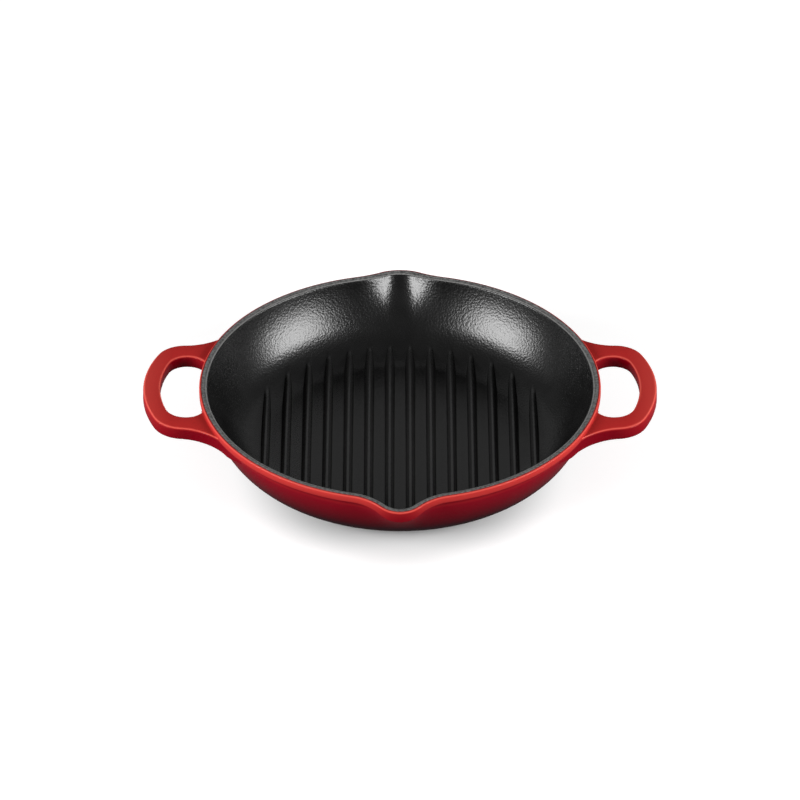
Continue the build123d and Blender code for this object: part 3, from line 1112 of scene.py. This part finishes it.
    def section(self) -> np.ndarray:
        """Points round the bar's section.

        Returns:
            One row for each point: distance in from the outer side as a length and as a
            share of the width, height from the middle plane, and the surface's direction
            across and up.
        """
        half = self.thickness / 2
        turn = np.linspace(0.0, math.pi / 2, self.corner_steps)
        inset = self.edge_round * (1 - np.cos(turn))
        rise = half - self.edge_round * (1 - np.sin(turn))
        share = np.linspace(0.0, 1.0, self.face_steps + 2)[1:-1]
        crown = self.crown * 4 * share * (1 - share)
        none, full = np.zeros_like(turn), np.ones_like(turn)
        outer = np.column_stack([inset, none, rise, np.cos(turn), np.sin(turn)])
        inner = np.column_stack([-inset, full, rise, -np.cos(turn), np.sin(turn)])[::-1]
        face = np.column_stack([self.edge_round * (1 - 2 * share), share, half + crown,
                                np.zeros_like(share), np.ones_like(share)])
        upper = np.vstack([outer, face, inner])
        return np.vstack([upper, upper[::-1] * (1, 1, -1, 1, -1)])

    def bar(self, form: np.ndarray) -> tuple[np.ndarray, np.ndarray]:
        """The plain bar before its fillets, ring by ring from one root round to the other.

        Args:
            form: Rows of the section.

        Returns:
            Points and surface directions.
        """
        outer, inner = (np.vstack([line[:0:-1] * (1, -1), line]) for line in self.matched())
        across = outer - inner
        width = np.hypot(*across.T)
        across = across / width[:, None]
        depth = form[None, :, 0] + form[None, :, 1] * width[:, None]
        flat = outer[:, None, :] - across[:, None, :] * depth[:, :, None]
        pivot = (self.form.rim_radius, self.form.height - self.drop - self.thickness / 2)
        ahead = flat[:, :, 0] - pivot[0]
        points = np.stack([pivot[0] + ahead * math.cos(self.rise) - form[None, :, 2] * math.sin(self.rise),
                           flat[:, :, 1],
                           pivot[1] + ahead * math.sin(self.rise) + form[None, :, 2] * math.cos(self.rise)],
                          axis=2)
        normal = np.concatenate([across[:, None, :] * form[None, :, 3:4],
                                 np.broadcast_to(form[None, :, 4:5], flat.shape[:2] + (1,))], axis=2)
        return points.reshape(-1, 3), normal.reshape(-1, 3)

    def to_wall(self, points: np.ndarray) -> np.ndarray:
        """Distance from points to the wall's outside, in the upright half-plane.

        Args:
            points: Points, mm.

        Returns:
            Distances, which are 0 inside the wall, mm.
        """
        place = np.column_stack([np.hypot(points[:, 0], points[:, 1]), points[:, 2]])
        best = np.full(len(place), 1e9)
        for low, high in zip(self.wall_points[:-1], self.wall_points[1:]):
            way = high - low
            share = np.clip(((place - low) @ way) / (way @ way), 0.0, 1.0)
            best = np.minimum(best, np.hypot(*(place - low - share[:, None] * way).T))
        inner = np.interp(place[:, 1], self.wall_points[::-1, 1], self.wall_points[::-1, 0])
        return np.where(place[:, 0] < inner, 0.0, best)

    def swell(self, points: np.ndarray, normal: np.ndarray, fade: np.ndarray) -> np.ndarray:
        """Swell the bar into a hollow fillet where it comes close to the wall.

        Args:
            points: Points of the plain bar.
            normal: Its surface directions.
            fade: Share of the full fillet at each point.

        Returns:
            The moved points.
        """
        upness = np.clip((normal[:, 2] - self.fillet_from) / self.fillet_span, 0.0, 1.0)
        size = self.low_fillet + (self.top_fillet - self.low_fillet) * upness**2 * (3 - 2 * upness)
        short = np.clip(size - self.to_wall(points), 0.0, None)
        radius = np.hypot(points[:, 0], points[:, 1])
        facing = np.abs(normal[:, 0] * points[:, 0] + normal[:, 1] * points[:, 1]) / radius
        square = 1 - np.clip(facing, 0.0, 1.0)**2
        return points + normal * ((size - np.sqrt(size**2 - short**2)) * square * fade)[:, None]

    def run_out(self, points: np.ndarray, fade: np.ndarray) -> np.ndarray:
        """Bring the tapers' outer sides into the wall, and keep no point deep inside it.

        Args:
            points: Points of the bar with its fillets.
            fade: 1 along the bar, falling to 0 along each taper.

        Returns:
            The moved points.
        """
        radius = np.hypot(points[:, 0], points[:, 1])
        collar_root = self.form.height - self.form.collar_height - self.form.collar_root_round
        below = np.minimum(points[:, 2], collar_root)
        wall = np.interp(below, self.wall_points[::-1, 1], self.wall_points[::-1, 0])
        sunk = (1 - fade)**2 * (1 + 2 * fade)
        limit = wall + (self.form.rim_radius - wall) * (1 - sunk) - self.taper_sink * sunk
        kept = np.where(sunk > 0, np.minimum(radius, limit), radius)
        points[:, :2] *= (np.maximum(kept, wall - self.root_sink) / radius)[:, None]
        return points

    def build(self, finish: Material) -> Object:
        """Build the bar ring by ring, with highlights painted along its edges and tops, and shade on its
        sides.

        Args:
            finish: The coat's material.

        Returns:
            The closed skin.
        """
        form = self.section()
        count = len(form)
        points, normal = self.bar(form)
        rings = len(points) // count
        fade = np.ones(rings)
        fade[-self.taper_rings:] = np.linspace(1.0, 0.0, self.taper_rings)
        fade = np.repeat(np.minimum(fade, fade[::-1]), count)
        points = self.run_out(self.swell(points, normal, fade), fade)
        faces = ring_faces(rings, count)
        for first in (0, (rings - 1) * count):
            faces += [(first + i, first + i + 1, first + count - 2 - i, first + count - 1 - i)
                      for i in range(count // 2 - 1)]
        if self.side < 0:
            points = points * (-1, -1, 1)
        obj = mesh_object("handle_enamel_right" if self.side > 0 else "handle_enamel_left", points, faces)
        settle_faces(obj)
        upward = np.clip(form[:, 4], 0.0, 1.0)
        # painted highlight along the top edges, on the top faces and on the end bars' tops
        edge = np.exp(-((upward - self.edge_upward) / self.edge_spread)**2) * (np.abs(form[:, 3]) > 0.01)
        end_bar = np.clip((np.abs(points[:, 0]) - self.end_from) / self.end_span, 0.0, 1.0) * self.end_highlight
        outward = np.clip(normal[:, 0], 0.0, 1.0)
        thin_and_highlight = np.tile(edge * self.edge_thin_and_highlight, rings) + (end_bar + self.top_highlight) * np.tile(upward, rings)
        set_point_value(obj, "thin_and_highlight", thin_and_highlight)
        # painted shade on the sides and underside, less where they face outwards, none in the tapers
        set_point_value(obj, "painted_shade", np.tile(1 - upward, rings) * fade * (1 - self.outward_share * outward))
        dress(obj, finish, Slot.RED)
        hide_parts("outer_enamel")
        return obj


# ---- Studio ----


@dataclass(frozen=True)
class Softbox:
    """A plain rectangular soft light, aimed at the pan."""

    name: str
    place: tuple[float, float, float]
    size: tuple[float, float]
    watts: float
    aim_height: float = 0.03

    def build(self) -> None:
        """Make the light and aim it."""
        data = bpy.data.lights.new(self.name, "AREA")
        data.shape = "RECTANGLE"
        data.size, data.size_y = self.size
        data.energy = self.watts
        obj = bpy.data.objects.new(self.name, data)
        obj.location = self.place
        aim = Vector((0, 0, self.aim_height)) - Vector(self.place)
        obj.rotation_euler = aim.to_track_quat("-Z", "Y").to_euler()
        bpy.context.collection.objects.link(obj)


@dataclass(frozen=True)
class FloorPaint:
    """Matt white paint on a smooth board.

    It scatters light evenly, so that the pan's shadow stays soft. Away from the pan it glows
    a little for the camera and in reflections, which brings the background up to white.
    Near the pan the glow fades out, which paints a pool of shadow round its foot that
    reaches further to the front than to the sides. Where the glow starts and is full is
    given in metres from the pan's middle.
    """

    name: str = "matt_floor_paint"
    colour: str = "#DADADA"
    roughness: float = 0.9
    grain_mm: float = 2.5
    glow: float = 0.52
    glow_from: float = 0.088
    glow_to: float = 0.152
    shadow_pool_squeeze: float = 1.35
    shadow_pool_forward: float = 0.012

    def make(self) -> Material:
        """Build the node material.

        Returns:
            The material.
        """
        material, tree, shader, place = new_material(self.name)
        grain = add_node(tree, "ShaderNodeTexNoise", links={"Vector": place}, Scale=1 / (self.grain_mm * MM))
        bump = add_node(tree, "ShaderNodeBump", links={"Height": grain.outputs["Fac"]},
                        Strength=0.05, Distance=0.1 * MM)
        tree.links.new(bump.outputs["Normal"], shader.inputs["Normal"])
        shader.inputs["Base Color"].default_value = linear(self.colour)
        shader.inputs["Roughness"].default_value = self.roughness
        shader.inputs["Specular IOR Level"].default_value = 0.0
        seen = add_node(tree, "ShaderNodeLightPath")
        shown = seen.outputs["Is Camera Ray"]
        for ray in ("Is Glossy Ray", "Is Transmission Ray"):
            shown = add_node(tree, "ShaderNodeMath", {"operation": "MAXIMUM"},
                             {0: shown, 1: seen.outputs[ray]}).outputs["Value"]
        # painted shadow: the glow fades out in a pool round the pan's foot
        shadow_pool = add_node(tree, "ShaderNodeVectorMath", {"operation": "MULTIPLY_ADD"}, {0: place})
        shadow_pool.inputs[1].default_value = (self.shadow_pool_squeeze, 1.0, 1.0)
        shadow_pool.inputs[2].default_value = (0.0, self.shadow_pool_forward, 0.0)
        reach = add_node(tree, "ShaderNodeVectorMath", {"operation": "LENGTH"}, {0: shadow_pool.outputs["Vector"]})
        away = add_node(tree, "ShaderNodeMapRange", {"interpolation_type": "SMOOTHSTEP"},
                        {"Value": reach.outputs["Value"]},
                        From_Min=self.glow_from, From_Max=self.glow_to, To_Max=self.glow)
        level = add_node(tree, "ShaderNodeMath", {"operation": "MULTIPLY"},
                         {0: shown, 1: away.outputs["Result"]})
        glow = add_node(tree, "ShaderNodeEmission", links={"Strength": level.outputs["Value"]})
        both = add_node(tree, "ShaderNodeAddShader",
                        links={0: shader.outputs["BSDF"], 1: glow.outputs["Emission"]})
        tree.links.new(both.outputs["Shader"], tree.nodes["Material Output"].inputs["Surface"])
        return material


@dataclass(frozen=True)
class Studio:
    """Pale floor, soft lights and the camera. Places are in metres, the lens and sensor in mm."""

    camera_y: float = -2.730
    camera_z: float = 1.908
    camera_pitch: float = math.radians(34.43)
    lens: float = 229.6
    sensor: float = 36.0
    far_clip: float = 200.0
    floor_radius: float = 60.0
    world_level: float = 0.15
    boxes: tuple[Softbox, ...] = (
        Softbox("left_softbox", (-1.375, -0.61, 0.53), (1.04, 0.70), 39.0),
        Softbox("right_softbox", (1.405, -0.54, 0.53), (1.04, 0.70), 37.0),
        Softbox("rear_panel", (0.0, 1.60, 1.15), (2.60, 1.30), 2.1),
    )

    def build_floor(self) -> None:
        """Make the wide pale floor, which keeps the pan's shadow."""
        mesh = bpy.data.meshes.new("studio_floor")
        shape = bmesh.new()
        bmesh.ops.create_circle(shape, cap_ends=True, segments=96, radius=self.floor_radius)
        shape.to_mesh(mesh)
        shape.free()
        obj = bpy.data.objects.new("studio_floor", mesh)
        bpy.context.collection.objects.link(obj)
        obj.data.materials.append(FloorPaint().make())

    def build_world(self) -> None:
        """Make the even grey surround."""
        world = bpy.data.worlds.new("soft_surround")
        world.use_nodes = True
        back = world.node_tree.nodes["Background"]
        back.inputs["Color"].default_value = (1.0, 1.0, 1.0, 1.0)
        back.inputs["Strength"].default_value = self.world_level
        bpy.context.scene.world = world

    def build_camera(self) -> None:
        """Make the camera at the photograph's viewing angle."""
        data = bpy.data.cameras.new("camera")
        data.lens = self.lens
        data.sensor_width = self.sensor
        data.clip_end = self.far_clip
        obj = bpy.data.objects.new("camera", data)
        obj.location = (0.0, self.camera_y, self.camera_z)
        obj.rotation_euler = (math.pi / 2 - self.camera_pitch, 0.0, 0.0)
        bpy.context.collection.objects.link(obj)
        bpy.context.scene.camera = obj

    def build(self) -> None:
        """Make the whole studio."""
        self.build_camera()
        self.build_floor()
        self.build_world()
        for box in self.boxes:
            box.build()
        bpy.context.scene.view_settings.view_transform = "Standard"


def main() -> None:
    """Build and dress every piece in order."""
    logging.basicConfig(level=logging.INFO, format="%(name)s: %(message)s")
    Studio().build()
    form = PanForm()
    red = GlossEnamel().make()
    pieces = [
        InnerEnamel(form, RibForm()).build(SatinEnamel().make()),
        RimBand(form).build(GroundCoat().make()),
        OuterEnamel(form).build(red),
        LoopHandle(form, 1).build(red),
        LoopHandle(form, -1).build(red),
    ]
    dress(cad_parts["iron_casting"], CoatedIron().make())
    dress(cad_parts["base_enamel"], red)
    for piece in pieces:
        log.info("%s: %d faces", piece.name, len(piece.data.polygons))


if __name__ == "__main__":
    main()
